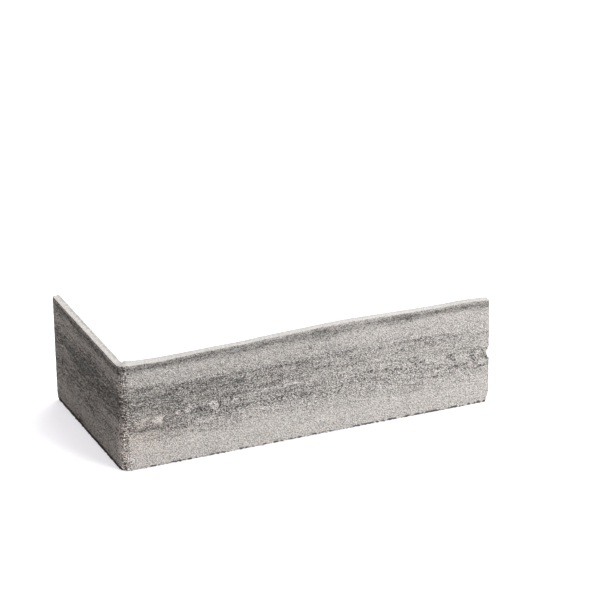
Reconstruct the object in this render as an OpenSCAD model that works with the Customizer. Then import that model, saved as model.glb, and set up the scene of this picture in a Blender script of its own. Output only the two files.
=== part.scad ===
// Corner brick slip: a thin L-shaped facing piece that carries one brick course round an outer
// corner. X runs along the long leg, Y along the short leg and Z up the course. The slip stands
// on its lower edge. The origin is the middle of the box that it fills, at that edge.

/* [Legs] */
// Outside length of the long leg, from the corner to its cut end
long_leg = 248; // [200:1:300]
// Outside length of the short leg, from the corner to its cut end
short_leg = 117; // [90:1:160]
// Height of the face, which is one brick course
course_height = 70; // [50:1:90]
// How far the long leg's upper edge rises above that in its middle
crown = 2.8; // [0:0.1:4]
// Thickness of the wall, from the bonding face to the highest sand
wall = 5; // [4:0.1:8]

/* [Bend] */
// Radius inside the bend, where the two bonding faces meet
inner_bend = 2; // [1:0.1:5]

/* [Edges] */
// Radius to which the face's upper edge is worn
upper_arris = 0.5; // [0.3:0.1:1.5]
// Radius to which the face's lower edge is worn
lower_arris = 1.3; // [0.4:0.1:2]
// Radius to which the edges of the face's cut ends are worn
end_arris = 0.6; // [0.3:0.1:1.5]
// Extra wear that comes and goes along the upper and the lower edge, as a share of their radius
edge_wander = 0.5; // [0:0.05:1]
// Length over which that extra wear comes and goes
wander_length = 9; // [5:1:30]

/* [Worn lower corners] */
// Height of the wear at the end of the long leg
long_wear_height = 10; // [4:0.5:20]
// Length that it takes off the lower edge there
long_wear_length = 2.4; // [0.5:0.1:4]
// Height of the wear at the end of the short leg
short_wear_height = 5; // [4:0.5:20]
// Length that it takes off the lower edge there
short_wear_length = 3; // [0.5:0.1:4]

/* [Chip in the long leg's end] */
// Height of the chip, which the lowest lap leaves where it runs out of the end
chip_height = 8.5; // [4:0.5:14]
// Depth of the chip
chip_depth = 1.2; // [0:0.1:2]
// Height of the chip's middle, as a share of the course
chip_middle = 0.49; // [0.3:0.01:0.7]

/* [Struck face] */
// Depth of the shallow troughs that striking the face drags along it
drag_depth = 0.45; // [0:0.05:0.8]
// Usual length of a trough, along the face
drag_length = 34; // [16:1:60]
// Usual height of a trough, up the face
drag_height = 6; // [4:0.5:12]
// Depth of the groove where one struck layer laps over the next
lap_depth = 0.8; // [0:0.05:1.2]
// Height of that groove
lap_height = 4.4; // [3:0.1:7]
// Number that picks one pattern of troughs from many
pattern_seed = 11; // [1:1:99]

/* [Mesh of the face] */
// Distance between the face's points along the legs
path_step = 3.8; // [3:0.1:8]
// Distance between the face's points up the course
height_step = 2.2; // [1.9:0.1:5]
// Number of steps round the bend
bend_steps = 8; // [6:1:16]

/* [Hidden] */
SAND = [0.72, 0.70, 0.68];

// The face and the blank each run past the other by this much, so that they trim cleanly
overrun = 1.5;
// Depth of the solid behind the face: past the bonding faces, but short of the bend's centre
backing = wall + inner_bend / 2;

// Outer radius of the bend, the sharp outer corner and the bend's centre
outer_bend = inner_bend + wall;
corner = [-long_leg / 2, -short_leg / 2];
bend_centre = corner + [outer_bend, outer_bend];

// A run is a length along the outer face from the middle of the bend. It is positive on the long
// leg and negative on the short one. These are the bend's half and the runs of both cut ends.
half_arc = outer_bend * PI / 4;
long_run = half_arc + long_leg - outer_bend;
short_run = half_arc + short_leg - outer_bend;
first_run = -short_run - overrun;
whole_run = long_run + short_run + 2 * overrun;

// The long leg's upper edge is an arc of this radius, on the leg's straight length
crown_length = long_leg - outer_bend;
crown_radius = (crown_length * crown_length / 4 + crown * crown) / (2 * max(crown, 0.05));
crown_middle = bend_centre.x + crown_length / 2;
function rise(run) =
    let (off = min(abs(run - half_arc - crown_length / 2), crown_length / 2))
    crown > 0 ? sqrt(crown_radius * crown_radius - off * off) - crown_radius + crown : 0;

// Laps as [start, end, height at the start, height at the end, depth]. Starts and ends are shares
// of the leg's run, heights are shares of the course and depths are shares of lap_depth.
SHORT_LEG_LAPS = [[0.92, 0.40, 0.30, 0.34, 0.5], [0.46, 0.04, 0.33, 0.46, 0.8]];
LONG_LEG_LAPS = [
    [0.04, 0.36, 0.45, 0.46, 0.7],
    [0.33, 0.56, 0.56, 0.52, 0.5],
    [0.53, 1.02, 0.55, 0.42, 1]
];
LAPS = concat(
    [for (l = SHORT_LEG_LAPS) [-l[0] * short_run, -l[1] * short_run, l[2], l[3], l[4]]],
    [for (l = LONG_LEG_LAPS) [l[0] * long_run, l[1] * long_run, l[2], l[3], l[4]]]
);

// A field holds random values from 0 to 1 on a grid, and is read smoothly between its points
function field(columns, rows, seed) =
    let (values = rands(0, 1, columns * rows, seed))
    [for (r = [0 : rows - 1]) [for (c = [0 : columns - 1]) values[r * columns + c]]];
function ease(t) = t * t * (3 - 2 * t);
function mix(a, b, t) = a + (b - a) * t;
function read(grid, u, v) =
    let (
        c = min(max(floor(u), 0), len(grid[0]) - 2),
        r = min(max(floor(v), 0), len(grid) - 2),
        along = ease(min(max(u - c, 0), 1)),
        up = ease(min(max(v - r, 0), 1))
    )
    mix(mix(grid[r][c], grid[r][c + 1], along), mix(grid[r + 1][c], grid[r + 1][c + 1], along), up);

// Troughs of half the length and height ride on the large ones
trough_columns = ceil(whole_run / drag_length) + 2;
trough_rows = ceil(course_height / drag_height) + 2;
TROUGHS = field(trough_columns, trough_rows, pattern_seed);
RIPPLES = field(2 * trough_columns, 2 * trough_rows, pattern_seed + 1);
function drag(run, z) =
    let (u = (run - first_run) / drag_length, v = max(z, 0) / drag_height)
    drag_depth * (0.7 * read(TROUGHS, u, v) + 0.3 * read(RIPPLES, 2 * u, 2 * v));

// Depth of the lap grooves, which fade out at both ends
function lap(run, z) = max([for (l = LAPS)
    let (
        share = (run - l[0]) / (l[1] - l[0]),
        off_middle = abs(z - course_height * mix(l[2], l[3], share)) / (lap_height / 2),
        fade = min(1, 5 * share, 5 * (1 - share))
    )
    fade > 0 && off_middle < 1 ? lap_depth * l[4] * ease(1 - off_middle) * ease(fade) : 0
]);

// Depth of a worn arris at some distance from the edge: a quarter round of the given radius
function quarter_round(distance, radius) =
    distance >= radius ? 0
    : distance <= 0 ? radius
    : radius - sqrt(radius * radius - (radius - distance) * (radius - distance));
WANDER = field(ceil(whole_run / wander_length) + 2, 2, pattern_seed + 2);
function edge_wear(run, z) =
    let (
        u = (run - first_run) / wander_length,
        upper = upper_arris * (1 + edge_wander * read(WANDER, u, 1)),
        lower = lower_arris * (1 + edge_wander * read(WANDER, u, 0))
    )
    max(
        quarter_round(course_height - z, upper),
        quarter_round(z, lower),
        quarter_round(long_run - run, end_arris),
        quarter_round(run + short_run, end_arris)
    );

// Direction that the face looks in, and a point on it before any wear
function outward(run) =
    run > half_arc ? [0, -1]
    : run < -half_arc ? [-1, 0]
    : let (angle = 225 + 45 * run / half_arc) [cos(angle), sin(angle)];
function on_face(run) =
    run > half_arc ? [bend_centre.x + run - half_arc, corner.y]
    : run < -half_arc ? [corner.x, bend_centre.y - run - half_arc]
    : bend_centre + outer_bend * outward(run);
// The face is stretched up the course to meet the crown
function sunk(run, z, depth) =
    let (p = on_face(run) - depth * outward(run))
    [p.x, p.y, z * (1 + rise(run) / course_height)];

// Even values from one end to the other, no further apart than the step
function spread(from, to, step) =
    let (n = ceil((to - from) / step))
    [for (i = [0 : n]) mix(from, to, i / n)];
// Distances from an edge at which a worn arris is drawn, out past the edge
function arris_points(radius) = [0.45 * radius, 0.12 * radius, -overrun];

// Everything behind the struck face, as one closed ring of points at each station along it
module struck_face() {
    lower_points = arris_points(lower_arris);
    end_points = arris_points(end_arris);
    heights = concat(
        [for (i = [2 : -1 : 0]) lower_points[i]],
        spread(lower_arris, course_height - upper_arris, height_step),
        [for (d = arris_points(upper_arris)) course_height - d]
    );
    runs = concat(
        [for (i = [2 : -1 : 0]) end_points[i] - short_run],
        spread(end_arris - short_run, -half_arc, path_step),
        [for (i = [1 : bend_steps - 1]) mix(-half_arc, half_arc, i / bend_steps)],
        spread(half_arc, long_run - end_arris, path_step),
        [for (d = end_points) long_run - d]
    );
    around = len(heights) + 2;
    last = (len(runs) - 1) * around;
    points = [for (run = runs) each concat(
        [for (z = heights) sunk(run, z, drag(run, z) + lap(run, z) + edge_wear(run, z))],
        [sunk(run, heights[len(heights) - 1], backing), sunk(run, heights[0], backing)]
    )];
    faces = concat(
        [[for (k = [0 : around - 1]) around - 1 - k]],
        [for (i = [0 : len(runs) - 2], k = [0 : around - 1])
            let (a = i * around + k, b = i * around + (k + 1) % around)
            each [[a, b, b + around], [a, b + around, a + around]]],
        [[for (k = [0 : around - 1]) last + k]]
    );
    polyhedron(points = points, faces = faces, convexity = 10);
}

// Plan of both legs and the bend, exact at the back and open past the face
module blank_plan() {
    translate([bend_centre.x, corner.y - overrun])
        square([long_leg - outer_bend, wall + overrun]);
    translate([corner.x - overrun, bend_centre.y])
        square([wall + overrun, short_leg - outer_bend]);
    difference() {
        translate(corner - [overrun, overrun]) square(outer_bend + overrun);
        translate(bend_centre) circle(r = inner_bend, $fn = 96);
    }
}

// What wear takes off a lower corner at the origin. It is bounded by an arc from the lower edge to
// the end, flatter by half than the arc that would run into the end without an angle.
module corner_wear(height, length) {
    chord = norm([height, length]);
    radius = 0.75 * chord * chord / length;
    reach = sqrt(radius * radius - chord * chord / 4);
    centre = [-length, height] / 2 + reach * [-height, length] / chord;
    difference() {
        translate([-length - overrun, -overrun, -overrun])
            cube([length + 2 * overrun, wall + 3 * overrun, height + 2 * overrun]);
        translate([centre.x, -2 * overrun, centre.y]) rotate([-90, 0, 0])
            cylinder(r = radius, h = wall + 5 * overrun, $fn = 180);
    }
}

// A shallow round chip through the wall, out of an end at the origin
module end_chip(height, depth) {
    radius = (height * height / 4 + depth * depth) / (2 * depth);
    translate([radius - depth, -2 * overrun, 0]) rotate([-90, 0, 0])
        cylinder(r = radius, h = wall + 4 * overrun, $fn = 120);
}

// Everything above the upper edge, which is level over the short leg and the bend
module over_upper_edge() {
    translate([0, short_leg, 0]) rotate([90, 0, 0]) linear_extrude(height = 2 * short_leg)
        difference() {
            translate([corner.x - 2 * overrun, course_height])
                square([long_leg + 4 * overrun, crown + 2 * overrun]);
            intersection() {
                translate([crown_middle, course_height + crown - crown_radius])
                    circle(r = crown_radius, $fn = 720);
                translate([bend_centre.x, course_height - overrun])
                    square([long_leg, crown + 2 * overrun]);
            }
        }
}

module blank() {
    difference() {
        linear_extrude(height = course_height + crown) blank_plan();
        if (crown > 0) over_upper_edge();
        translate([long_leg / 2, corner.y - overrun, 0])
            corner_wear(long_wear_height, long_wear_length);
        translate([corner.x - overrun, short_leg / 2, 0]) rotate(90) mirror([0, 1, 0])
            corner_wear(short_wear_height, short_wear_length);
        if (chip_depth > 0)
            translate([long_leg / 2, corner.y, chip_middle * course_height])
                end_chip(chip_height, chip_depth);
    }
}

module corner_slip() {
    color(SAND) intersection() {
        struck_face();
        blank();
    }
}

corner_slip();
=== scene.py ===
"""Corner brick slip: its sanded and struck face, its pale cut edges, and the studio it stands in."""

import math

import bpy
import numpy as np
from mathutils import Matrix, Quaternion, Vector, noise


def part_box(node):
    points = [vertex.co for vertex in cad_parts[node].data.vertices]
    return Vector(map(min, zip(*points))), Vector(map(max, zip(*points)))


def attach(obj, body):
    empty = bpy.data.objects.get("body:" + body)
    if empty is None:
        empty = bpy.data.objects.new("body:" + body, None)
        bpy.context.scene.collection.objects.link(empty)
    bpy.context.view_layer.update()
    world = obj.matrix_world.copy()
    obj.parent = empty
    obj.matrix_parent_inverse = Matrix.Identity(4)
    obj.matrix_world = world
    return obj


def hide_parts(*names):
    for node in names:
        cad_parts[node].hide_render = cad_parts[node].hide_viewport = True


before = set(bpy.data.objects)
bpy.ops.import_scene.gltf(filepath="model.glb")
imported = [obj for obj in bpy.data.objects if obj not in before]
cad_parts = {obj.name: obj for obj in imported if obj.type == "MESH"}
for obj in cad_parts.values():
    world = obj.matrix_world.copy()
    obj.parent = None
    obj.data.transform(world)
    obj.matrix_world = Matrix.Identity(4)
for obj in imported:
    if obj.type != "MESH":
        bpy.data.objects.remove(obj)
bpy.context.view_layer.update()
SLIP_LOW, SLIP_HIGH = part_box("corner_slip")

bl_info = {
    "name": "Corner brick slip",
    "version": (1, 0, 0),
    "blender": (4, 5, 0),
    "location": "3D View > Sidebar > Slip",
    "description": "Models the slip's struck face and edges, and the studio round it",
    "category": "Object",
}

MM = 0.001
PIECE = "struck_corner_slip"
FRAME_NODE = "corner_slip"
BODY = "root"
# One unit of the slip's own map is this many millimetres along the face and up it
MAP_UNIT = 100.0

# A dark streak is (first run, last run, height there and there, half width, darkness). A run is the
# distance along the face from the outer corner, and it is negative on the short leg. All lengths in
# this file's lists are in millimetres.
LONG_LEG_STREAKS = (
    # Broad hazes that the other streaks lie in
    (-30, 170, 58.0, 58.0, 9.0, 0.28),
    (90, 330, 57.0, 56.0, 9.0, 0.17),
    (-12, 150, 39.5, 39.5, 6.0, 0.54),
    (100, 330, 41.0, 40.0, 6.0, 0.24),
    (-4, 95, 27.0, 27.0, 7.0, 0.43),
    (50, 330, 28.0, 27.0, 7.0, 0.29),
    (-12, 230, 53.0, 52.0, 2.6, 0.30),
    (50, 210, 33.5, 31.5, 2.2, 0.16),
    (-40, 330, 19.5, 19.0, 4.5, 0.08),
    # The line of dark sand under the upper edge
    (-26, 90, 67.7, 67.7, 2.5, 0.80),
    (60, 150, 67.3, 67.1, 2.8, 0.66),
    (115, 200, 67.1, 67.3, 2.7, 0.56),
    (165, 275, 67.4, 67.6, 2.7, 0.68),
    (184, 196, 67.3, 67.3, 1.6, 0.15),
    (226, 241, 67.6, 67.4, 1.3, 0.40),
    # The broad band above the middle, dark at the bend and fading along the leg
    (-2, 45, 47.5, 47.0, 5.0, 0.73),
    (0, 30, 53.5, 54.0, 2.0, 0.54),
    (18, 37, 50.5, 50.0, 1.3, 0.50),
    (30, 95, 48.0, 47.5, 5.0, 0.75),
    (40, 62, 51.5, 51.0, 1.2, 0.35),
    (60, 80, 52.5, 52.5, 1.2, 0.45),
    (80, 130, 47.5, 47.0, 4.5, 0.50),
    (84, 130, 52.0, 51.5, 1.0, 0.40),
    (118, 170, 47.0, 46.0, 4.0, 0.44),
    (150, 252, 47.0, 48.0, 3.5, 0.34),
    (180, 228, 52.0, 51.5, 0.9, 0.40),
    (193, 208, 52.3, 52.3, 0.8, 0.30),
    (235, 252, 48.5, 48.0, 1.2, 0.25),
    (160, 190, 57.0, 55.5, 0.8, 0.20),
    # The lines at half height
    (0, 50, 41.0, 41.0, 2.0, 0.60),
    (50, 92, 40.0, 39.0, 1.6, 0.55),
    (88, 108, 40.5, 42.8, 1.0, 0.50),
    (162, 182, 41.5, 41.5, 0.8, 0.30),
    (180, 250, 39.0, 38.5, 3.0, 0.15),
    # The torn band below the middle
    (4, 46, 33.0, 33.0, 5.0, 0.42),
    (28, 44, 37.0, 37.0, 1.0, 0.50),
    (6, 38, 26.5, 26.0, 1.8, 0.62),
    (40, 70, 33.5, 32.0, 3.0, 0.60),
    (45, 60, 34.0, 33.5, 1.0, 0.40),
    (64, 90, 30.0, 29.5, 1.5, 0.55),
    (85, 130, 31.0, 31.0, 3.0, 0.30),
    (95, 125, 34.8, 35.0, 0.9, 0.40),
    (70, 130, 29.0, 28.5, 1.2, 0.40),
    (20, 60, 24.0, 23.0, 1.5, 0.30),
    (125, 190, 34.0, 28.0, 1.4, 0.27),
    (150, 190, 37.0, 34.5, 0.7, 0.18),
    (120, 160, 30.0, 24.0, 2.0, 0.25),
    (125, 150, 36.0, 36.0, 2.5, 0.20),
    (185, 215, 31.5, 31.0, 1.5, 0.12),
    (195, 218, 25.5, 24.5, 0.8, 0.35),
    (218, 233, 28.0, 30.5, 0.8, 0.45),
    (238, 252, 26.0, 26.0, 0.9, 0.45),
    (235, 250, 34.0, 34.0, 4.0, 0.16),
    # Faint lines low on the face
    (5, 75, 19.5, 17.5, 1.2, 0.25),
    (60, 80, 19.0, 19.0, 0.8, 0.20),
    (90, 115, 22.0, 22.0, 1.0, 0.20),
    (100, 215, 18.0, 18.0, 3.5, 0.09),
    (188, 205, 20.3, 20.3, 0.8, 0.35),
    (192, 203, 17.0, 17.0, 1.0, 0.25),
    (200, 228, 15.5, 15.3, 0.7, 0.20),
    # Cracks in the torn layer
    (158, 168, 37.0, 36.6, 0.45, 0.60),
    (176, 194, 35.9, 33.2, 0.45, 0.60),
    (190, 214, 33.2, 30.8, 0.40, 0.45),
    (198, 217, 25.2, 23.8, 0.40, 0.40),
    (211, 221, 27.0, 24.9, 0.40, 0.65),
    (220.5, 226.5, 30.4, 27.6, 0.45, 0.65),
    (224, 235, 27.6, 30.2, 0.40, 0.65),
    (233.5, 238.5, 38.0, 28.6, 1.2, 0.65),
    (241.5, 247.5, 38.0, 29.5, 1.1, 0.65),
    (236, 252, 26.2, 26.2, 0.50, 0.40),
    (95, 108, 41.2, 41.9, 0.5, 0.50),
    (126, 146, 30.5, 26.0, 0.6, 0.40),
    (112, 134, 30.5, 28.8, 0.6, 0.45),
)
SHORT_LEG_STREAKS = (
    # Broad hazes that the other streaks lie in
    (-170, -35, 46.5, 46.5, 7.5, 0.78),
    (-125, 8, 66.0, 66.0, 2.8, 0.54),
    (-95, 6, 45.0, 43.0, 8.0, 0.62),
    (-170, -15, 31.0, 29.5, 9.0, 0.45),
    (-170, 10, 20.5, 20.5, 4.0, 0.27),
    (-90, 12, 50.5, 49.0, 6.5, 0.56),
    (-85, 12, 38.0, 37.0, 5.0, 0.55),
    (-80, 6, 57.0, 57.0, 6.5, 0.28),
    (-80, 2, 23.0, 24.0, 6.0, 0.22),
    (-150, -50, 62.5, 62.0, 2.2, 0.26),
    # Painted shade: the dark line along the short leg's lower edge, where it meets the floor
    (-135, -8, 2.4, 2.4, 1.3, 0.70),
    # The bend's own
    (-14, 13, 31.0, 31.0, 7.0, 0.34),
    (-14, 12, 44.0, 45.0, 8.0, 0.48),
    (-150, 26, 66.5, 66.5, 2.3, 0.80),
    (-75, -58, 64.5, 64.5, 1.0, 0.40),
    (-116, -100, 62.5, 62.5, 0.8, 0.30),
    (-108, -70, 46.5, 46.0, 1.2, 0.60),
    (-95, -70, 44.5, 45.0, 2.0, 0.40),
    (-80, 2, 46.0, 45.5, 6.5, 0.90),
    (-60, -8, 53.0, 54.0, 2.0, 0.35),
    (-28, -8, 54.5, 54.5, 0.8, 0.35),
    (-70, -5, 41.0, 40.0, 3.5, 0.60),
    (-72, -60, 39.5, 39.5, 1.2, 0.40),
    (-50, -36, 37.5, 37.0, 1.0, 0.30),
    (-44, -32, 34.0, 34.0, 1.5, 0.50),
    (-32, -20, 37.0, 37.0, 1.6, 0.40),
    (-40, -2, 30.0, 35.0, 1.6, 0.50),
    (-62, -40, 29.5, 24.5, 1.4, 0.50),
    (-58, -38, 21.0, 21.8, 0.8, 0.50),
    (-40, -14, 22.0, 23.5, 0.7, 0.40),
    (-14, 0, 23.0, 21.0, 0.7, 0.35),
    (-116, -60, 31.0, 30.0, 7.0, 0.40),
    (-80, -62, 29.0, 30.0, 1.0, 0.30),
    (-116, -85, 23.0, 22.5, 1.0, 0.25),
    (-66, -50, 17.5, 17.5, 0.8, 0.25),
    (-110, -85, 18.0, 17.0, 0.8, 0.20),
    (-22, -6, 17.5, 17.5, 0.7, 0.20),
    # Painted shade low on the short leg, just above the floor
    (-170, -20, 5.5, 5.0, 2.5, 0.18),
)

# A pale lump of sand is (run, height, half length, half height, strength)
LUMPS = (
    (23.5, 32.2, 4.0, 2.5, 0.90),
    (16.5, 33.6, 2.4, 1.0, 0.70),
    (12.0, 32.0, 4.0, 1.6, 0.35),
    (25.5, 30.0, 2.0, 1.4, 0.60),
    (37.0, 34.3, 2.0, 1.1, 0.70),
    (43.5, 34.0, 1.7, 1.6, 0.40),
    (58.5, 35.5, 2.4, 1.4, 0.45),
    (62.0, 33.2, 2.6, 2.2, 0.85),
    (60.5, 36.5, 2.6, 1.0, 0.40),
    (52.0, 26.0, 4.0, 2.0, 0.30),
    (73.8, 35.5, 1.2, 2.6, 0.65),
    (77.0, 37.2, 2.4, 0.8, 0.55),
    (75.3, 31.6, 0.8, 1.2, 0.55),
    (88.0, 37.4, 3.5, 0.6, 0.45),
    (96.0, 38.6, 4.0, 0.8, 0.55),
    (101.5, 38.6, 3.0, 1.0, 0.55),
    (106.5, 37.4, 3.0, 0.7, 0.45),
    (112.5, 38.8, 5.0, 0.8, 0.55),
    (118.5, 37.6, 4.0, 0.8, 0.50),
    (125.0, 36.2, 3.0, 0.7, 0.45),
    (192.0, 36.0, 3.5, 1.8, 0.50),
    (207.0, 36.4, 4.0, 2.2, 0.50),
    (214.5, 36.2, 3.0, 2.0, 0.40),
    (213.5, 28.2, 2.0, 0.8, 0.50),
    (229.0, 34.6, 5.0, 2.2, 0.45),
    (234.5, 28.1, 1.9, 1.4, 0.75),
    (242.0, 28.1, 3.4, 1.2, 0.80),
    (240.0, 35.6, 2.6, 2.0, 0.40),
    (247.5, 28.1, 1.6, 1.2, 0.75),
)

# Where the struck layer is torn and crinkled, as (run, height, half length, half height, strength)
TORN = (
    (32, 32, 30, 5, 0.6),
    (95, 35, 42, 4, 0.9),
    (165, 37, 30, 3, 0.7),
    (205, 35, 30, 5, 0.9),
    (238, 33, 14, 8, 1.0),
    (-45, 27, 16, 3, 0.6),
)

# A pit is (run, height, radius)
PITS = (
    (39.8, 34.2, 0.8), (52.3, 33.1, 0.6), (64.9, 35.0, 0.7), (65.2, 33.4, 0.6), (64.2, 31.8, 0.5),
    (72.6, 36.2, 0.6), (74.6, 32.2, 0.6), (76.2, 30.0, 0.9), (28.2, 31.0, 0.5), (49.0, 32.0, 0.5),
    (146.0, 37.6, 0.6), (148.0, 38.1, 0.6), (156.3, 36.5, 0.7), (161.5, 36.7, 0.5),
    (166.7, 36.7, 0.9), (177.0, 35.8, 0.95), (183.0, 35.1, 0.7), (185.0, 34.7, 0.5),
    (187.0, 34.2, 0.6), (190.5, 33.4, 0.45), (196.6, 35.7, 0.8), (197.4, 34.0, 0.7),
    (200.2, 36.1, 0.85), (202.0, 34.3, 0.6), (203.4, 33.3, 0.6), (199.0, 33.4, 0.5),
    (212.2, 29.3, 0.85), (219.3, 36.8, 0.6), (221.0, 36.9, 0.6), (220.5, 35.4, 0.6),
    (222.6, 35.3, 0.5), (222.0, 33.4, 0.6), (223.8, 33.2, 0.5), (235.6, 36.1, 0.6),
    (236.4, 34.0, 0.55), (237.2, 30.9, 0.7), (236.6, 29.7, 0.5), (243.3, 35.8, 0.6),
    (244.4, 34.1, 0.6), (245.6, 31.1, 0.8), (246.0, 29.9, 0.6),
)

# The upper edge wavers on its crown, and rises at the bend. Each place is (run, rise, half length).
UPPER_EDGE = (
    (3.5, 1.5, 8),
    (14, 0.7, 9),
    (80, -0.5, 16),
    (150, 0.7, 26),
    (233, 0.8, 14),
)

# How far the inner corner is filled along the face, as (run, share of the most)
INNER_FILL = (
    (-16, 0), (-7, 0.6), (-3.5, 0.8), (0, 0.95), (3.5, 1), (7, 0.92), (10.5, 0.58), (18, 0.53),
    (30, 0.4), (40, 0.18), (54, 0),
)

# How much painted light brightens the bend's side towards the short leg, as (height, share)
BEND_PAINTED_LIGHT = ((0, 0.45), (20, 0.50), (27, 0.34), (40, 0.12), (48, 0.15), (56, 0.48), (66, 0.10))

# Sizes of the sand's grains, which lie along the run, and of clumps of a few of them
FINE_GRAIN = 0.45 * MM
LARGE_GRAIN = 0.95 * MM
CLUMP = 2.0 * MM
FINE_GRAIN_SHAPE = (1, 0.5, 1.5)
LARGE_GRAIN_SHAPE = (1, 0.6, 1.2)
# Near-black grains, and the painted shade in the bottoms of pits
BLACK_GRAIN_AND_PIT_SHADE = (0.05, 0.042, 0.038, 1)
# Painted shade along the lower edge, where the crumbled lower arris meets the floor
PAINTED_EDGE_SHADE = (0.024, 0.016, 0.012, 1)
# All the sand is matte
SAND_ROUGHNESS = 0.92
SAND_SPECULAR = 0.25


class SlipSizes(bpy.types.PropertyGroup):
    """Sizes of the slip. Those that the frame fixes come from it."""

    course: bpy.props.FloatProperty(
        name="Course",
        description="Height of the face, without the crown of the long leg's upper edge",
        default=70 * MM,
        unit="LENGTH",
    )
    wall: bpy.props.FloatProperty(
        name="Wall",
        description="Thickness of the wall",
        default=5 * MM,
        unit="LENGTH",
    )
    inner_bend: bpy.props.FloatProperty(
        name="Inner bend",
        description="Radius inside the bend",
        default=2 * MM,
        unit="LENGTH",
    )
    grid: bpy.props.FloatProperty(
        name="Grid",
        description="Distance between the struck face's points",
        default=0.62 * MM,
        min=0.5 * MM,
        unit="LENGTH",
    )
    upper_arris: bpy.props.FloatProperty(
        name="Upper arris",
        description="Radius of the face's upper edge",
        default=0.22 * MM,
        unit="LENGTH",
    )
    lower_arris: bpy.props.FloatProperty(
        name="Lower arris",
        description="Radius of the face's lower edge",
        default=1.3 * MM,
        unit="LENGTH",
    )
    end_arris: bpy.props.FloatProperty(
        name="End arris",
        description="Radius of the face's cut ends",
        default=0.4 * MM,
        unit="LENGTH",
    )
    long_wear: bpy.props.FloatVectorProperty(
        name="Long leg's corner wear",
        description="Length and height of the wear at the long leg's lower corner",
        default=(2.4 * MM, 10 * MM),
        size=2,
        unit="LENGTH",
    )
    short_wear: bpy.props.FloatVectorProperty(
        name="Short leg's corner wear",
        description="Length and height of the wear at the short leg's lower corner",
        default=(3 * MM, 5 * MM),
        size=2,
        unit="LENGTH",
    )
    chip: bpy.props.FloatVectorProperty(
        name="End chip",
        description="Depth, height and middle's height of the chip in the long leg's end",
        default=(1.3 * MM, 8.5 * MM, 34.5 * MM),
        size=3,
        unit="LENGTH",
    )
    bend_edge: bpy.props.FloatProperty(
        name="Bend edge",
        description="How far the bend's outer edge stands proud of its round",
        default=0.15 * MM,
        unit="LENGTH",
    )
    inner_fill: bpy.props.FloatProperty(
        name="Inner fill",
        description="How much thicker the long leg is in the bend and beside it",
        default=3.3 * MM,
        unit="LENGTH",
    )
    end_lean: bpy.props.FloatVectorProperty(
        name="End lean",
        description="How far the short leg's end is out of square at its upper and its lower corner",
        default=(1.2 * MM, 2.4 * MM),
        size=2,
        unit="LENGTH",
    )
    pit_depth: bpy.props.FloatProperty(
        name="Pit depth",
        description="Depth of the pits along the laps",
        default=0.7 * MM,
        unit="LENGTH",
    )
    lump_rise: bpy.props.FloatProperty(
        name="Lump rise",
        description="How far the pale lumps stand proud",
        default=0.5 * MM,
        unit="LENGTH",
    )
    drag_depth: bpy.props.FloatProperty(
        name="Drag depth",
        description="Depth of the troughs that striking drags along the face",
        default=0.3 * MM,
        unit="LENGTH",
    )
    crinkle_depth: bpy.props.FloatProperty(
        name="Crinkle depth",
        description="Depth of the crinkles where the struck layer is torn",
        default=0.8 * MM,
        unit="LENGTH",
    )
    grain_depth: bpy.props.FloatProperty(
        name="Grain depth",
        description="Depth of the sand's grain in the mesh",
        default=0.18 * MM,
        unit="LENGTH",
    )


class SlipColours(bpy.types.PropertyGroup):
    """Colours of the slip's sand."""

    light_sand: bpy.props.FloatVectorProperty(
        name="Light sand",
        description="Sand between the streaks",
        default=(0.668, 0.639, 0.616),
        size=3,
        subtype="COLOR",
        min=0,
        max=1,
    )
    dark_sand: bpy.props.FloatVectorProperty(
        name="Dark sand",
        description="Sand in the darkest streaks",
        default=(0.165, 0.162, 0.156),
        size=3,
        subtype="COLOR",
        min=0,
        max=1,
    )
    cut_sand: bpy.props.FloatVectorProperty(
        name="Cut sand",
        description="Pale body where the slip is cut",
        default=(0.65, 0.627, 0.603),
        size=3,
        subtype="COLOR",
        min=0,
        max=1,
    )
    back_sand: bpy.props.FloatVectorProperty(
        name="Back sand",
        description="Plain bonding face",
        default=(0.50, 0.475, 0.45),
        size=3,
        subtype="COLOR",
        min=0,
        max=1,
    )


class StudioSettings(bpy.types.PropertyGroup):
    """Camera, lamps and floor."""

    azimuth: bpy.props.FloatProperty(
        name="Azimuth",
        description="Camera's turn round the slip",
        default=math.radians(-22.971),
        subtype="ANGLE",
    )
    elevation: bpy.props.FloatProperty(
        name="Elevation",
        description="Camera's angle above the floor",
        default=math.radians(24.792),
        subtype="ANGLE",
    )
    roll: bpy.props.FloatProperty(
        name="Roll",
        description="Camera's tilt about its own line of sight",
        default=math.radians(-0.465),
        subtype="ANGLE",
    )
    distance: bpy.props.FloatProperty(
        name="Distance",
        description="From the camera to the point it looks at",
        default=3.1146,
        unit="LENGTH",
    )
    aim: bpy.props.FloatVectorProperty(
        name="Aim",
        description="Point on the floor that the camera looks at",
        default=(0.07483, 0.13004, 0.0),
        size=3,
        subtype="TRANSLATION",
    )
    lens: bpy.props.FloatProperty(
        name="Lens",
        description="Focal length of the camera in millimetres",
        default=283.01,
    )
    overhead_power: bpy.props.FloatProperty(
        name="Overhead lamp",
        description="Power of the lamp above, behind and to the right",
        default=16.0,
        unit="POWER",
    )
    side_power: bpy.props.FloatProperty(
        name="Side lamp",
        description="Power of the lamp in front and to the right",
        default=26.5,
        unit="POWER",
    )
    sky: bpy.props.FloatProperty(
        name="Sky",
        description="Strength of the light from all round",
        default=0.24,
    )


# Mesh

def select_by(mesh, kind, test):
    """Selects the vertices, edges or faces that pass a test, and nothing else."""
    for group in (mesh.vertices, mesh.edges, mesh.polygons):
        group.foreach_set("select", [False] * len(group))
    for item in getattr(mesh, kind):
        if test(item):
            item.select = True


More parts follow.
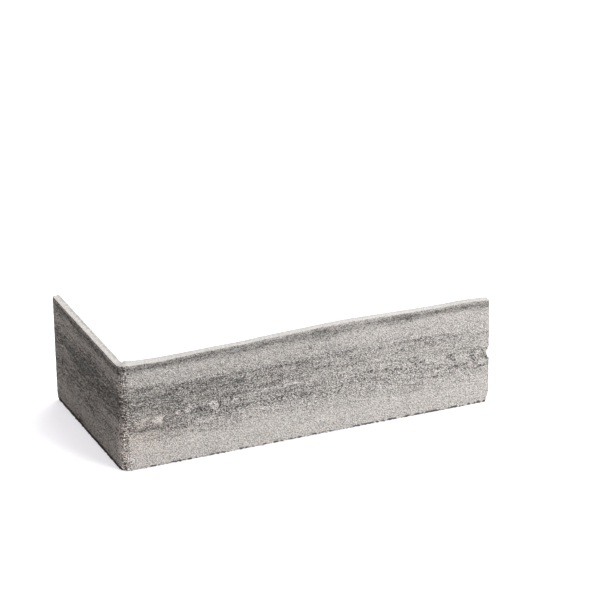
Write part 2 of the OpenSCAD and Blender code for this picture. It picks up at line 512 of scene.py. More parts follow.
def sweep_section(sizes):
    """The plain slip: a grid across the long leg's cut end, swept along both legs and the bend."""
    low, high = SLIP_LOW, SLIP_HIGH
    height = sizes.course
    outer_bend = sizes.inner_bend + sizes.wall
    rows = round(height / sizes.grid)
    layers = round(sizes.wall / sizes.grid) - 1
    bpy.ops.object.select_all(action="DESELECT")
    bpy.ops.mesh.primitive_grid_add(
        x_subdivisions=rows,
        y_subdivisions=layers,
        size=1,
        location=(high.x, low.y + sizes.wall / 2, low.z + height / 2),
        rotation=(0, math.pi / 2, 0),
    )
    slip = bpy.context.object
    slip.name = slip.data.name = PIECE
    slip.scale = (height, sizes.wall, 1)
    bpy.ops.object.transform_apply(location=True, rotation=True, scale=True)
    thin_out_back(slip.data, low, sizes, rows)

    bend_x = low.x + outer_bend
    bend_y = low.y + outer_bend
    bpy.ops.object.mode_set(mode="EDIT")
    bpy.ops.mesh.select_all(action="SELECT")
    bpy.ops.mesh.extrude_region_move(TRANSFORM_OT_translate={"value": (bend_x - high.x, 0, 0)})
    bpy.ops.mesh.spin(
        steps=round(outer_bend * math.pi / 2 / sizes.grid),
        angle=math.pi / 2,
        center=(bend_x, bend_y, 0),
        axis=(0, 0, 1),
    )
    bpy.ops.mesh.extrude_region_move(TRANSFORM_OT_translate={"value": (0, high.y - bend_y, 0)})
    bpy.ops.mesh.select_all(action="SELECT")
    bpy.ops.mesh.remove_doubles(threshold=0.01 * MM)
    bpy.ops.mesh.normals_make_consistent(inside=False)
    bpy.ops.object.mode_set(mode="OBJECT")
    divide_lengths(slip.data, 0, sizes.grid)
    divide_lengths(slip.data, 1, sizes.grid)
    return slip


def thin_out_back(mesh, low, sizes, rows):
    """The bonding face needs only every sixth row of the section's points."""
    back = low.y + 0.9 * sizes.wall
    keep = {round(i / rows, 4) for i in range(0, rows + 1, 6)} | {1.0}

    def spare(point):
        return point.co.y > back and round((point.co.z - low.z) / sizes.course, 4) not in keep

    select_by(mesh, "vertices", spare)
    bpy.context.tool_settings.mesh_select_mode = (True, False, False)
    bpy.ops.object.mode_set(mode="EDIT")
    bpy.ops.mesh.dissolve_verts()
    bpy.ops.object.mode_set(mode="OBJECT")


def divide_lengths(mesh, axis, grid):
    """Cuts a leg's long edges into even steps of about the grid, in two passes."""
    longest = max(edge_span(mesh, edge, axis) for edge in mesh.edges)
    first = 4
    second = round(longest / first / grid)
    bpy.context.tool_settings.mesh_select_mode = (False, True, False)
    for cuts, shortest in ((first, 0.9 * longest), (second, 0.9 * longest / first)):
        select_by(mesh, "edges", lambda edge: edge_span(mesh, edge, axis) > shortest)
        bpy.ops.object.mode_set(mode="EDIT")
        bpy.ops.mesh.subdivide(number_cuts=cuts - 1)
        bpy.ops.object.mode_set(mode="OBJECT")


def edge_span(mesh, edge, axis):
    """How far an edge reaches along an axis."""
    start, end = [mesh.vertices[i].co[axis] for i in edge.vertices]
    return abs(end - start)


def points_of(mesh):
    """The mesh's points as an array, in millimetres."""
    co = np.empty(3 * len(mesh.vertices))
    mesh.vertices.foreach_get("co", co)
    return co.reshape(-1, 3) / MM


def unroll(mesh, sizes):
    """Run along the face, depth behind it and height of every point, and the way in at each."""
    co = points_of(mesh)
    corner_x, corner_y = SLIP_LOW.x / MM, SLIP_LOW.y / MM
    outer_bend = (sizes.inner_bend + sizes.wall) / MM
    x, y = co[:, 0] - corner_x, co[:, 1] - corner_y
    on_long = x >= outer_bend
    on_short = ~on_long & (y >= outer_bend)
    turn = np.arctan2(outer_bend - y, outer_bend - x)
    radius = np.hypot(outer_bend - x, outer_bend - y)
    run = np.where(on_long, x, np.where(on_short, -y, outer_bend * (turn / (math.pi / 4) - 1)))
    depth = np.where(on_long, y, np.where(on_short, x, outer_bend - radius))
    inward = np.stack([
        np.where(on_long, 0.0, np.where(on_short, 1.0, np.cos(turn))),
        np.where(on_long, 1.0, np.where(on_short, 0.0, np.sin(turn))),
    ], 1)
    return run, depth, co[:, 2] - SLIP_LOW.z / MM, inward


def long_run():
    """Run at the long leg's end."""
    return (SLIP_HIGH.x - SLIP_LOW.x) / MM


def short_run():
    """Length of the short leg, which is the run at its end, without the minus."""
    return (SLIP_HIGH.y - SLIP_LOW.y) / MM


def wobble(u, v, seed):
    """Smooth noise from -1 to 1 at many places of a plane."""
    return np.array([noise.noise((a, b, seed)) for a, b in zip(u, v)])


def ease(t):
    """A smooth step that leaves 0 and reaches 1 with them."""
    t = np.clip(t, 0, 1)
    return t * t * (3 - 2 * t)


def streak_darkness(run, height, streaks):
    """How dark the streaks leave each place of the face, from 0 to 1."""
    light = np.ones_like(run)
    for first, last, height_a, height_b, half_width, darkness in streaks:
        share = (run - first) / (last - first)
        middle = height_a + (height_b - height_a) * share
        fade = ease(4 * share) * ease(4 * (1 - share))
        across = np.exp(-(((height - middle) / half_width) ** 2))
        light *= 1 - darkness * fade * across
    return 1 - light


def blobs(run, height, places):
    """Soft-edged ovals, from 0 to 1."""
    most = np.zeros_like(run)
    for at, up, half_length, half_height, strength in places:
        off = ((run - at) / half_length) ** 2 + ((height - up) / half_height) ** 2
        most = np.maximum(most, strength * ease(1.5 * (1.3 - off)))
    return most


def quarter_round(distance, radius):
    """Depth of a worn arris at some distance from its edge."""
    inside = np.clip(radius - distance, 0, radius)
    return radius - np.sqrt(np.maximum(radius * radius - inside * inside, 0))


def corner_wear(height, length, top):
    """How far wear has moved a lower corner's end in at each height: an arc up from the lower edge."""
    chord = math.hypot(length, top)
    radius = 0.75 * chord * chord / length
    reach = math.sqrt(radius * radius - chord * chord / 4)
    middle_x = -length / 2 - reach * top / chord
    middle_z = top / 2 + reach * length / chord
    off = np.minimum(np.abs(height - middle_z), radius)
    edge = middle_x + np.sqrt(radius * radius - off * off)
    return np.where(height < top, np.maximum(-edge, 0), 0)


def end_chip(height, depth, tall, middle):
    """Depth of the round chip in the long leg's end at each height."""
    share = np.clip(np.abs(height - middle) / (tall / 2), 0, 1)
    return depth * (1 - share * share)


def crown_rise(run, sizes):
    """How far the long leg's upper edge rises over the course: an arc on the leg's straight length."""
    crown = (SLIP_HIGH.z - SLIP_LOW.z - sizes.course) / MM
    start = (sizes.inner_bend + sizes.wall) / MM
    half = (long_run() - start) / 2
    radius = (half * half + crown * crown) / (2 * max(crown, 0.05))
    off = np.minimum(np.abs(run - start - half), half)
    return np.sqrt(radius * radius - off * off) - radius + crown


def set_weights(slip, name, weights):
    """A vertex group with one weight for each point."""
    group = slip.vertex_groups.new(name=name)
    for index in np.flatnonzero(weights > 1e-4):
        group.add([int(index)], float(weights[index]), "REPLACE")


def displace(
    slip, name, group, direction, strength, texture=None, middle=0.0, coords="LOCAL", uv_map="",
):
    """A Displace modifier that is applied at once."""
    bpy.ops.object.select_all(action="DESELECT")
    slip.select_set(True)
    bpy.context.view_layer.objects.active = slip
    bpy.ops.object.modifier_add(type="DISPLACE")
    modifier = slip.modifiers[-1]
    modifier.name = name
    modifier.vertex_group = group
    modifier.direction = direction
    modifier.strength = strength
    modifier.mid_level = middle
    if texture:
        modifier.texture = texture
        modifier.texture_coords = coords
        modifier.uv_layer = uv_map
    bpy.ops.object.modifier_apply(modifier=modifier.name)


def shift(slip, name, amounts, letter, reach):
    """Moves points along an axis by their own amounts in millimetres, of which the reach is the most.
    Its sign gives the way."""
    set_weights(slip, name, np.clip(amounts / abs(reach), 0, 1))
    displace(slip, name, name, letter, reach * MM)


def cloud_texture(name, size):
    texture = bpy.data.textures.new(name, "CLOUDS")
    texture.noise_scale = size
    texture.noise_depth = 2
    return texture


def pit_places():
    """The pits as ovals a little longer than high."""
    return [(run, height, size, 0.85 * size, 1) for run, height, size in PITS]


def waver(run):
    """Rise of the upper edge over its crown."""
    return sum(rise * np.exp(-(((run - at) / half) ** 2)) for at, rise, half in UPPER_EDGE)


def raise_crown(slip, sizes, run, height):
    """Raises the upper edge to its crown. The rise fades out over the face's uppermost 12 mm."""
    rise = np.maximum(crown_rise(run, sizes) + waver(run), 0)
    near_top = np.clip((height - sizes.course / MM + 12) / 12, 0, 1)
    shift(slip, "crown", rise * near_top, "Z", 4)


def fill_inner_corner(slip, sizes, run, depth):
    """Thickens the wall from behind, in the bend and beside it."""
    fill = np.interp(run, *zip(*INNER_FILL)) * np.clip(depth / (sizes.wall / MM), 0, 1)
    set_weights(slip, "inner fill", fill)
    displace(slip, "inner fill", "inner fill", "Y", sizes.inner_fill)


def shape_ends(slip, sizes, run, depth, height):
    """The chip and the worn corner of the long leg's end, and the short leg's leaning end. Each is
    moved along its own leg, less and less over some millimetres from the end."""
    long_in = corner_wear(height, *[v / MM for v in sizes.long_wear])
    long_in = np.maximum(long_in, end_chip(height, *[v / MM for v in sizes.chip]))
    long_in += 0.25 * (1 + wobble(height / 1.8, depth / 1.8, 9.7))
    out_of_square = [v / MM for v in sizes.end_lean]
    short_in = corner_wear(height, *[v / MM for v in sizes.short_wear])
    short_in += np.interp(height, (0, sizes.course / MM), (out_of_square[1], -out_of_square[0]))
    short_in += 0.25 * (1 + wobble(height / 1.8, depth / 1.8, 4.9))
    near_long_end = ease(1 - (long_run() - run) / 7)
    near_short_end = ease(1 - (run + short_run()) / 12)
    shift(slip, "long end", long_in * near_long_end, "X", -8)
    shift(slip, "short end", short_in * near_short_end, "Y", -8)
    shift(slip, "short end out", -short_in * near_short_end, "Y", 8)


def carve_face(slip, sizes, run, depth, height, inward):
    """Worn arrises, pits, lumps and the bend's edge. What is sunk at the face fades out towards the
    back."""
    wander = 1 + 0.8 * wobble(run / 1.8, height / 5, 3.1)
    # The lower arris is crumbled, and less so near the long leg's end
    crumbled = np.maximum(1 + 1.4 * wobble(run / 1.4, height / 5, 3.1), 0.2)
    crumbled = crumbled * (1 - 0.6 * ease((run - 170) / 40))
    worn = np.maximum.reduce([
        quarter_round(height, sizes.lower_arris / MM * crumbled),
        quarter_round(sizes.course / MM - height, sizes.upper_arris / MM * wander),
        quarter_round(long_run() - run, sizes.end_arris / MM * wander),
        quarter_round(run + short_run(), sizes.end_arris / MM * wander),
    ])
    pits = blobs(run, height, pit_places())
    lumps = blobs(run, height, LUMPS)
    sunk = worn + pits * sizes.pit_depth / MM - lumps * sizes.lump_rise / MM
    sunk -= sizes.bend_edge / MM * np.exp(-((run / 2.4) ** 2)) * (0.3 + 0.7 * ease(height / 30))
    sunk *= 1 - depth / (sizes.wall / MM)
    for axis, letter in enumerate("XY"):
        shift(slip, f"sunk in {letter}", sunk * inward[:, axis], letter, 2)
        shift(slip, f"sunk out {letter}", -sunk * inward[:, axis], letter, -2)


def roughen(slip, sizes, run, depth, height):
    """Drag troughs along the face and grain all over it. The lower edge's own plane stays flat."""
    wall = sizes.wall / MM
    face = np.clip(1 - depth / 1.0, 0, 1)
    above = ease(height / 1.5)
    set_weights(slip, "struck face", face * above)
    set_weights(slip, "bend", face * above * np.exp(-(((run - 1.5) / 6.0) ** 2)))
    set_weights(slip, "all but the base", (0.35 + 0.65 * np.clip(1 - depth / wall, 0, 1)) * above)
    # The drag's noise lies on the squeezed map, so its size is in that map's units
    displace(
        slip, "drag", "struck face", "NORMAL", sizes.drag_depth,
        texture=cloud_texture("drag", 0.05), middle=1.0, coords="UV", uv_map="dragged",
    )
    set_weights(slip, "torn", face * blobs(run, height, TORN))
    for name, group, rise, size, middle in (
        ("bend grain", "bend", 0.8 * MM, 1.5 * MM, 0.6),
        ("crinkles", "torn", sizes.crinkle_depth, 1.7 * MM, 0.55),
        ("grain", "all but the base", sizes.grain_depth, 1.1 * MM, 0.6),
    ):
        displace(slip, name, group, "NORMAL", rise, cloud_texture(name, size), middle)


def make_maps(mesh, run, height):
    """The face's own map, and a second one squeezed along the run, on which noise comes out drawn."""
    corners = np.empty(len(mesh.loops), np.int32)
    mesh.loops.foreach_get("vertex_index", corners)
    for name, squeeze in (("unrolled", 1.0), ("dragged", 0.12)):
        layer = mesh.uv_layers.new(name=name)
        uv = np.stack([run * squeeze, height], 1)[corners] / MAP_UNIT
        layer.uv.foreach_set("vector", uv.astype(np.float32).ravel())


def store(mesh, name, values):
    attribute = mesh.attributes.new(name, "FLOAT", "POINT")
    attribute.data.foreach_set("value", values.astype(np.float32))


def paint_streaks(mesh, run, height, top):
    """Dark sand, with painted shade low on the short leg; pale sand; and the pits at every point, as
    attributes that the material reads. The streaks waver and slide a little, but not along the upper
    edge."""
    calm = ease((top - height - 1) / 8)
    drift = calm * (1.3 * wobble(run / 24, height / 7, 1.7) + 0.5 * wobble(run / 7, height / 2.5, 5.3))
    slide = 4 * wobble(run / 11, height / 3, 8.1)
    streaks = LONG_LEG_STREAKS + SHORT_LEG_STREAKS
    dark = streak_darkness(run + slide, height + drift, streaks)
    pale = blobs(run + 0.3 * slide, height + 0.4 * drift, LUMPS)
    # Each lump has a dark rim
    rim = 0.5 * np.exp(-(((pale - 0.2) / 0.12) ** 2))
    store(mesh, "dark_sand", np.maximum(dark * (1 - pale), rim))
    store(mesh, "pale_sand", pale)
    store(mesh, "pitted", blobs(run, height, pit_places()) ** 2)

def short_leg_share(run):
    """One on the short leg, none on the long one, and a share between them round the bend."""
    return ease((5 - run) / 6)


def paint_lower_shade(mesh, run):
    """How high painted shade reaches along the lower edge, in millimetres: all along the short leg, and
    in dashes on the long one."""
    level = np.zeros_like(run)
    short_dashes = 2.4 * wobble(run / 1.1, level, 6.4)
    long_dashes = 1.6 * wobble(run / 4, level, 2.4)
    dashes = 1.7 * ease(0.62 + short_dashes + long_dashes)
    reach = 2.8 + 0.5 * wobble(run / 2, level, 1.2)
    shaded = ease((1.5 - run) / 6)
    store(mesh, "edge_shade", reach * shaded + (1 - shaded) * dashes * ease((run - 10) / 8))


def paint_grains(mesh, run, height):
    """How the grains differ from place to place, as attributes that the material reads."""
    on_short_leg = short_leg_share(run)
    store(mesh, "on_short_leg", on_short_leg)
    # Contrast is low near the long leg's upper edge, and high in the torn layer, at the bend and on
    # the short leg
    torn_layer = np.exp(-(((height - 29) / 8) ** 2)) * ease((run - 40) / 30)
    contrast = 1 - 0.1 * ease((height - 54) / 6) + 0.3 * torn_layer
    contrast = contrast * (1 - on_short_leg) + 1.3 * on_short_leg
    store(mesh, "contrast", contrast + 0.35 * np.exp(-(((run - 0.5) / 3.5) ** 2)))
    store(mesh, "mingling", 1 - 0.5 * ease((height - 61) / 4) * ease((run - 2) / 6))
    store(mesh, "torn", blobs(run, height, TORN))
    coarse = np.exp(-(((run - 0.5) / 5.5) ** 2))
    store(mesh, "coarse", coarse)
    # The sand is browner at the bend and low down beside it
    low_down = np.exp(-(((run - 14) / 26) ** 2) - ((height - 24) / 15) ** 2)
    store(mesh, "brown", np.maximum(0.7 * coarse, low_down * ease((run + 4) / 8)))
    # Painted highlight on the bend's side towards the short leg and painted shade a little further
    # round, where light reaches round the bend; the short leg is also made a little darker
    scuffed = np.interp(height, *zip(*BEND_PAINTED_LIGHT)) * np.exp(-(((run + 3.8) / 2.5) ** 2))
    duller = 0.10 * np.exp(-(((run - 1.5) / 2.2) ** 2)) + 0.04 * on_short_leg
    store(mesh, "scuffed", scuffed - duller)


def paint_cut_edges(mesh, run, depth, wall):
    """How much darker the cut upper edge is made: in a dotted line along the short leg, and on the long
    leg behind and towards its end. Along the long leg, and most towards its end, this is painted shade
    that dims the edge where the lamp above lights it more."""
    behind = depth / wall
    dotted = ease(0.6 + 1.2 * wobble(run / 1.6, depth, 7.2))
    inner_line = np.exp(-(((behind - 0.71) / 0.11) ** 2)) * dotted
    on_short = 1.6 * inner_line * ease((-7 - run) / 10)
    # Darker behind, and painted shade along the long leg that grows towards its end
    on_long = 0.2 * ease((behind - 0.35) / 0.6) + 0.16 * ease(run / 40) + 0.3 * ease((run - 190) / 60)
    store(mesh, "duller", np.where(run < -7, on_short, on_long))


def assign_finishes(mesh, depth, sizes):
    """Struck sand on the face, cut sand on the edges and ends, and plain sand on the back."""
    wall = sizes.wall / MM
    for face in mesh.polygons:
        deep = [depth[i] for i in face.vertices]
        if max(deep) < 0.01:
            face.material_index = 0
        elif min(deep) > wall - 0.01:
            face.material_index = 2
        else:
            face.material_index = 1


# Materials

def new_material(name):
    material = bpy.data.materials.new(name)
    material.use_nodes = True
    nodes = material.node_tree.nodes
    nodes.clear()
    output = nodes.new("ShaderNodeOutputMaterial")
    shader = nodes.new("ShaderNodeBsdfPrincipled")
    material.node_tree.links.new(shader.outputs["BSDF"], output.inputs["Surface"])
    return material, shader


class Nodes:
    """Short calls that add and join shader nodes of one material."""

    def __init__(self, material):
        self.tree = material.node_tree

    def add(self, kind, **settings):
        node = self.tree.nodes.new(kind)
        for key, value in settings.items():
            setattr(node, key, value)
        return node

    def join(self, source, target):
        self.tree.links.new(source, target)

    def put(self, socket, value):
        if isinstance(value, bpy.types.NodeSocket):
            self.join(value, socket)
        else:
            socket.default_value = value

    def math(self, operation, *values, clamp=False):
        node = self.add("ShaderNodeMath", operation=operation, use_clamp=clamp)
        for socket, value in zip(node.inputs, values):
            self.put(socket, value)
        return node.outputs[0]

    def attribute(self, name):
        return self.add("ShaderNodeAttribute", attribute_name=name).outputs["Fac"]

    def mapped(self, source, scale, shift=(0, 0, 0)):
        node = self.add("ShaderNodeMapping")
        self.join(source, node.inputs["Vector"])
        node.inputs["Scale"].default_value = scale
        node.inputs["Location"].default_value = shift
        return node.outputs["Vector"]

    def noise(self, source, scale, detail=2.0, roughness=0.5):
        node = self.add("ShaderNodeTexNoise")
        self.join(source, node.inputs["Vector"])
        node.inputs["Scale"].default_value = scale
        node.inputs["Detail"].default_value = detail
        node.inputs["Roughness"].default_value = roughness
        return node.outputs["Fac"]

    def spread(self, value, low, high, to_low=0.0, to_high=1.0):
        node = self.add("ShaderNodeMapRange")
        names = ("From Min", "From Max", "To Min", "To Max")
        for name, number in zip(names, (low, high, to_low, to_high)):
            node.inputs[name].default_value = number
        self.join(value, node.inputs["Value"])
        return node.outputs["Result"]

    def mix(self, factor, a, b, blend="MIX"):
        node = self.add("ShaderNodeMix", data_type="RGBA", blend_type=blend)
        self.put(node.inputs[0], factor)
        self.put(node.inputs[6], a)
        self.put(node.inputs[7], b)
        return node.outputs[2]

    def bump(self, height, distance, strength=1.0, normal=None):
        node = self.add("ShaderNodeBump")
        self.join(height, node.inputs["Height"])
        node.inputs["Distance"].default_value = distance
        node.inputs["Strength"].default_value = strength
        if normal:
            self.join(normal, node.inputs["Normal"])
        return node.outputs["Normal"]


def opaque(colour, gain=1.0):
    return (*[min(c * gain, 1.0) for c in colour], 1.0)


def object_place(build):
    return build.add("ShaderNodeTexCoord").outputs["Object"]


def cell_colour(build, place, shape, size, shift=(0, 0, 0)):
    """Three random numbers for each grain, as the parts of a colour."""
    cells = build.add("ShaderNodeTexVoronoi", feature="F1")
    build.join(build.mapped(place, shape, shift), cells.inputs["Vector"])
    cells.inputs["Scale"].default_value = 1 / size
    parts = build.add("ShaderNodeSeparateColor")
    build.join(cells.outputs["Color"], parts.inputs["Color"])
    return parts.outputs


def fine_streaks(build, uv):
    """Fine streaks that break up the painted ones: long and thin, shorter and thinner, and on the
    short leg drawn lines too."""
    long_streaks = build.noise(build.mapped(uv, (6, 60, 1)), 1.0, 3.0, 0.6)
    short_streaks = build.noise(build.mapped(uv, (22, 160, 1), (3.1, 7.7, 0)), 1.0, 2.0, 0.6)
    streaks = build.math(
        "ADD",
        build.spread(long_streaks, 0.3, 0.7, -0.20, 0.20),
        build.spread(short_streaks, 0.3, 0.7, -0.16, 0.16),
    )
    drawn_lines = build.noise(build.mapped(uv, (4, 110, 1), (5.3, 1.9, 0)), 1.0, 2.0, 0.6)
    drawn_lines = build.spread(drawn_lines, 0.3, 0.7, -0.22, 0.22)
    return build.math("MULTIPLY_ADD", build.attribute("on_short_leg"), drawn_lines, streaks)


def grain_tone(build, chance, mingled):
    """Brightness of each grain. Light sand is even but for a few dark grains, and in dark sand grains
    of all tones lie side by side."""
    rest = build.math("POWER", build.math("SUBTRACT", 1.0, chance), 2.0)
    few = build.math("MULTIPLY_ADD", rest, -0.9, 1.3)
    many = build.math("MULTIPLY_ADD", build.math("POWER", chance, 1.5), 2.2, 0.12)
    tone = build.math("MULTIPLY_ADD", build.math("SUBTRACT", many, few), mingled, few)
    contrast = build.math("MULTIPLY", build.attribute("contrast"), 1.3)
    # Painted light and shade round the bend raise or lower the grains' middle tone
    middle = build.math("ADD", build.attribute("scuffed"), 1.0)
    tone = build.math("MULTIPLY_ADD", build.math("SUBTRACT", tone, 1.0), contrast, middle)
    return build.math("MAXIMUM", tone, 0.04)


def lower_shade(build, height):
    """Share of the painted brown shade along the lower edge, as high as its attribute says."""
    over = build.math("MULTIPLY_ADD", height, -MAP_UNIT, build.attribute("edge_shade"))
    depth_of_shade = build.spread(build.attribute("on_short_leg"), 0.0, 1.0, 0.82, 0.95)
    return build.math("MULTIPLY", build.spread(over, -0.15, 0.25), depth_of_shade)


def rough_surface(build, place, uv):
    """The grains' relief, and crinkles where the struck layer is torn."""
    grain_height = build.noise(build.mapped(place, LARGE_GRAIN_SHAPE), 1 / (1.0 * MM), 0.0)
    crinkles = build.noise(build.mapped(uv, (50, 95, 1), (1.3, 2.9, 0)), 1.0, 2.0, 0.55)
    crinkles = build.math("MULTIPLY", crinkles, build.attribute("torn"))
    return build.bump(crinkles, 1.2 * MM, 1.0, build.bump(grain_height, 0.7 * MM, 1.0))


def make_matte(shader):
    shader.inputs["Roughness"].default_value = SAND_ROUGHNESS
    shader.inputs["Specular IOR Level"].default_value = SAND_SPECULAR


def struck_sand(colours):
    """Sanded face: dark streaks drawn along the run, and grains of several tones all over."""
    material, shader = new_material("struck sand")
    build = Nodes(material)
    place = object_place(build)
    uv = build.add("ShaderNodeUVMap", uv_map="unrolled").outputs["UV"]
    on_map = build.add("ShaderNodeSeparateXYZ")
    build.join(uv, on_map.inputs["Vector"])
    dark = build.attribute("dark_sand")
    coarse = build.attribute("coarse")
    on_short_leg = build.attribute("on_short_leg")

    # Painted streaks, broken up by fine ones and by clumps of grains, which show more on the short leg
    clumps = build.spread(build.noise(place, 1 / CLUMP, 3.0, 0.65), 0.3, 0.7, -0.06, 0.06)
    amount = build.math("ADD", build.spread(on_map.outputs["X"], -0.08, 0.0, 1.1, 0.38), dark)
    broken = build.math("MULTIPLY", build.math("ADD", fine_streaks(build, uv), clumps), amount)
    share = build.math("ADD", dark, broken, clamp=True)
    base = build.mix(share, opaque(colours.light_sand), opaque(colours.dark_sand))
    pale = build.math("MULTIPLY", build.attribute("pale_sand"), 0.75)
    base = build.mix(pale, base, opaque(colours.light_sand, 1.15))

    # Grains, each of one tone and hue
    grains = cell_colour(build, place, FINE_GRAIN_SHAPE, FINE_GRAIN)
    dark_mix = build.math("MULTIPLY", build.spread(share, 0.10, 0.75), build.attribute("mingling"))
    mingled = build.math("MULTIPLY_ADD", coarse, 0.8, dark_mix, clamp=True)
    tone = grain_tone(build, grains["Red"], mingled)
    base = build.mix(1.0, base, grey(build, tone), "MULTIPLY")
    base = build.mix(1.0, base, tinted(build, 1.0, grains["Blue"]), "MULTIPLY")
    base = build.mix(build.attribute("brown"), base, (1.045, 1.0, 0.98, 1), "MULTIPLY")
    # One large grain in sixteen is near black, most of all in dark sand
    large_grains = cell_colour(build, place, LARGE_GRAIN_SHAPE, LARGE_GRAIN, (0.3, 0.1, 0.2))
    black = build.spread(large_grains["Red"], 0.05, 0.075, 1.0, 0.0)
    black = build.math("MULTIPLY", black, build.math("MULTIPLY_ADD", mingled, 0.45, 0.12))
    base = build.mix(black, base, BLACK_GRAIN_AND_PIT_SHADE)

    # The short leg's cooler cast, painted shade in the pits' bottoms, and the lower edge's painted
    # shade
    base = build.mix(on_short_leg, base, (1.0, 0.977, 0.983, 1), "MULTIPLY")
    pitted = build.math("MULTIPLY", build.attribute("pitted"), 0.85)
    base = build.mix(pitted, base, BLACK_GRAIN_AND_PIT_SHADE)
    base = build.mix(lower_shade(build, on_map.outputs["Y"]), base, PAINTED_EDGE_SHADE)
    build.join(base, shader.inputs["Base Color"])
    make_matte(shader)
    build.join(rough_surface(build, place, uv), shader.inputs["Normal"])
    return material


def tinted(build, value, hue):
    """A grey that leans to blue where the hue's number is low, and to brown where it is high."""
    node = build.add("ShaderNodeCombineColor")
    lean = build.spread(hue, 0, 1, -0.035, 0.035)
    build.join(build.math("ADD", value, lean), node.inputs["Red"])
    build.put(node.inputs["Green"], value)
    build.join(build.math("SUBTRACT", value, lean), node.inputs["Blue"])
    return node.outputs["Color"]


def grey(build, value):
    node = build.add("ShaderNodeCombineColor")
    for socket in node.inputs:
        build.join(value, socket)
    return node.outputs["Color"]


def plain_sand(name, colour, grain, depth, darkening_strength):
    """Sand without streaks, for cut edges and for the bonding face."""
    material, shader = new_material(name)
    build = Nodes(material)
    place = object_place(build)
    fine = build.noise(place, 1 / (0.65 * MM), 3.0, 0.6)
    coarse = build.noise(place, 1 / (4 * MM), 2.0, 0.5)
    tone = build.math(
        "ADD",
        build.spread(fine, 0.3, 0.7, -grain, grain),
        build.spread(coarse, 0.3, 0.7, -0.03, 0.03),
    )
    # Darker where the attribute says; along the long leg's cut edge this is painted shade
    tone = build.math("SUBTRACT", tone, build.math("MULTIPLY", build.attribute("duller"), darkening_strength))
    base = build.mix(1.0, opaque(colour), grey(build, build.math("ADD", 1.0, tone)), "MULTIPLY")
    build.join(base, shader.inputs["Base Color"])
    make_matte(shader)
    build.join(build.bump(fine, depth, 0.8), shader.inputs["Normal"])
    return material


class SLIP_OT_corner_slip(bpy.types.Operator):
    """Models the slip round its frame, with its struck face, cut edges and plain back"""

    bl_idname = "slip.corner_slip"
    bl_label = "Corner slip"

    def execute(self, context):
        sizes = context.scene.slip_sizes
        colours = context.scene.slip_colours
        slip = sweep_section(sizes)
        run, depth, height, inward = unroll(slip.data, sizes)
        make_maps(slip.data, run, height)
        paint_streaks(slip.data, run, height, sizes.course / MM)
        paint_lower_shade(slip.data, run)
        paint_grains(slip.data, run, height)
        paint_cut_edges(slip.data, run, depth, sizes.wall / MM)
        for finish in (
            struck_sand(colours),
            plain_sand("cut sand", colours.cut_sand, grain=0.36, depth=0.35 * MM, darkening_strength=0.30),
            plain_sand("back sand", colours.back_sand, grain=0.16, depth=0.25 * MM, darkening_strength=0.0),
        ):
            slip.data.materials.append(finish)
        assign_finishes(slip.data, depth, sizes)
        raise_crown(slip, sizes, run, height)
        fill_inner_corner(slip, sizes, run, depth)
        shape_ends(slip, sizes, run, depth, height)
        carve_face(slip, sizes, run, depth, height, inward)
        roughen(slip, sizes, run, depth, height)
        slip.vertex_groups.clear()
        bpy.ops.object.shade_smooth_by_angle(angle=math.radians(28))
        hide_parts(FRAME_NODE)
        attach(slip, BODY)
        return {"FINISHED"}


# Studio

def camera_sees(build):
    """One for rays from the camera, and for those that mirrors and glass pass on."""
    rays = build.add("ShaderNodeLightPath").outputs
    seen = build.math("MAXIMUM", rays["Is Camera Ray"], rays["Is Glossy Ray"])
    return build.math("MAXIMUM", seen, rays["Is Transmission Ray"])


def floor_finish():
    """White where the camera sees it, apart from shadows, and mid grey for the light it throws back."""
    material = bpy.data.materials.new("white floor")
    material.use_nodes = True
    build = Nodes(material)
    build.tree.nodes.clear()
    seen = camera_sees(build)
    diffuse = build.add("ShaderNodeBsdfDiffuse")
    build.join(build.mix(seen, (0.38, 0.365, 0.355, 1), (0.9, 0.9, 0.9, 1)), diffuse.inputs["Color"])
    glow = build.add("ShaderNodeEmission")
    glow.inputs["Color"].default_value = (0.601, 0.596, 0.627, 1)
    build.join(seen, glow.inputs["Strength"])
    both = build.add("ShaderNodeAddShader")
    build.join(diffuse.outputs[0], both.inputs[0])
    build.join(glow.outputs[0], both.inputs[1])
    output = build.add("ShaderNodeOutputMaterial")
    build.join(both.outputs[0], output.inputs["Surface"])
    return material


def add_lamp(name, towards, distance, size, power):
    """A square lamp that looks at the slip's middle from a direction."""
    middle = (SLIP_LOW + SLIP_HIGH) / 2
    place = middle + Vector(towards).normalized() * distance
    bpy.ops.object.light_add(type="AREA", location=place)
    lamp = bpy.context.object
    lamp.name = name
    lamp.rotation_mode = "QUATERNION"
    lamp.rotation_quaternion = (middle - place).to_track_quat("-Z", "Y")
    lamp.data.size = size
    lamp.data.energy = power
    return lamp


def set_world(strength):
    world = bpy.data.worlds.new("studio")
    bpy.context.scene.world = world
    world.use_nodes = True
    build = Nodes(world)
    build.tree.nodes.clear()
    seen = camera_sees(build)
    background = build.add("ShaderNodeBackground")
    glow = build.math("ADD", build.math("MULTIPLY", seen, 1 - strength), strength)
    build.join(glow, background.inputs["Strength"])
    # The light from all round is a little warm, but the camera sees white
    tint = build.mix(seen, (1.0, 0.955, 0.92, 1), (1, 1, 1, 1))
    build.join(tint, background.inputs["Color"])
    output = build.add("ShaderNodeOutputWorld")
    build.join(background.outputs[0], output.inputs["Surface"])


def set_camera(studio):
    turn, rise = studio.azimuth, studio.elevation
    back = Vector((math.sin(turn) * math.cos(rise), -math.cos(turn) * math.cos(rise), math.sin(rise)))
    bpy.ops.object.camera_add(location=Vector(studio.aim) + back * studio.distance)
    camera = bpy.context.object
    camera.rotation_mode = "QUATERNION"
    camera.rotation_quaternion = (-back).to_track_quat("-Z", "Y") @ Quaternion((0, 0, 1), studio.roll)
    camera.data.sensor_width = 36
    camera.data.lens = studio.lens
    camera.data.clip_end = 20
    bpy.context.scene.camera = camera


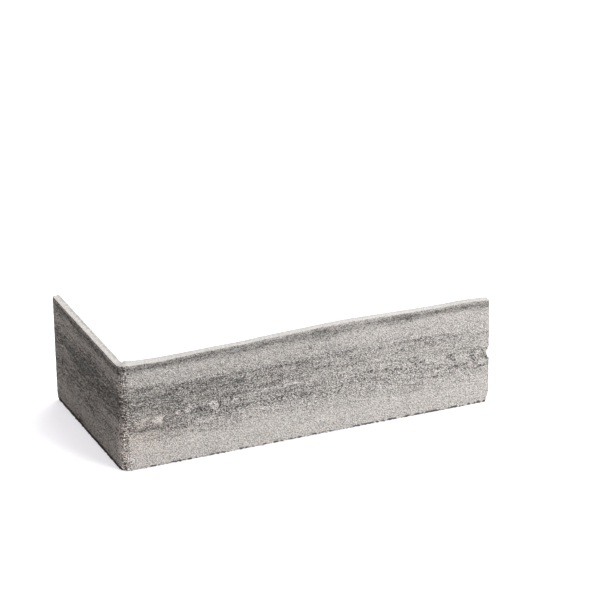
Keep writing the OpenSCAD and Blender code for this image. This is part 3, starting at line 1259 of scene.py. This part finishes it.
class SLIP_OT_studio(bpy.types.Operator):
    """Adds the white floor, the lamps, the sky and the camera"""

    bl_idname = "slip.studio"
    bl_label = "Studio"

    def execute(self, context):
        studio = context.scene.slip_studio
        bpy.ops.object.select_all(action="DESELECT")
        bpy.ops.mesh.primitive_plane_add(size=12, location=(0, 0, SLIP_LOW.z))
        floor = bpy.context.object
        floor.name = "floor"
        floor.data.materials.append(floor_finish())
        overhead, side = (0.45, 0.35, 1.0), (0.47, -0.88, 0.42)
        add_lamp("overhead lamp", overhead, distance=1.3, size=1.0, power=studio.overhead_power)
        add_lamp("side lamp", side, distance=1.9, size=0.7, power=studio.side_power)
        set_world(studio.sky)
        set_camera(studio)
        context.scene.view_settings.view_transform = "Standard"
        return {"FINISHED"}


class SLIP_PT_panel(bpy.types.Panel):
    """Lists the slip's operators and settings"""

    bl_label = "Corner brick slip"
    bl_idname = "SLIP_PT_panel"
    bl_space_type = "VIEW_3D"
    bl_region_type = "UI"
    bl_category = "Slip"

    def draw(self, context):
        layout = self.layout
        for group in (context.scene.slip_sizes, context.scene.slip_colours, context.scene.slip_studio):
            for name in group.__annotations__:
                layout.prop(group, name)
        layout.operator(SLIP_OT_corner_slip.bl_idname)
        layout.operator(SLIP_OT_studio.bl_idname)


CLASSES = (SlipSizes, SlipColours, StudioSettings, SLIP_OT_corner_slip, SLIP_OT_studio, SLIP_PT_panel)


def register():
    for cls in CLASSES:
        bpy.utils.register_class(cls)
    bpy.types.Scene.slip_sizes = bpy.props.PointerProperty(type=SlipSizes)
    bpy.types.Scene.slip_colours = bpy.props.PointerProperty(type=SlipColours)
    bpy.types.Scene.slip_studio = bpy.props.PointerProperty(type=StudioSettings)


def unregister():
    del bpy.types.Scene.slip_studio
    del bpy.types.Scene.slip_colours
    del bpy.types.Scene.slip_sizes
    for cls in reversed(CLASSES):
        bpy.utils.unregister_class(cls)


def main():
    register()
    bpy.ops.slip.corner_slip()
    bpy.ops.slip.studio()


if __name__ == "__main__":
    main()
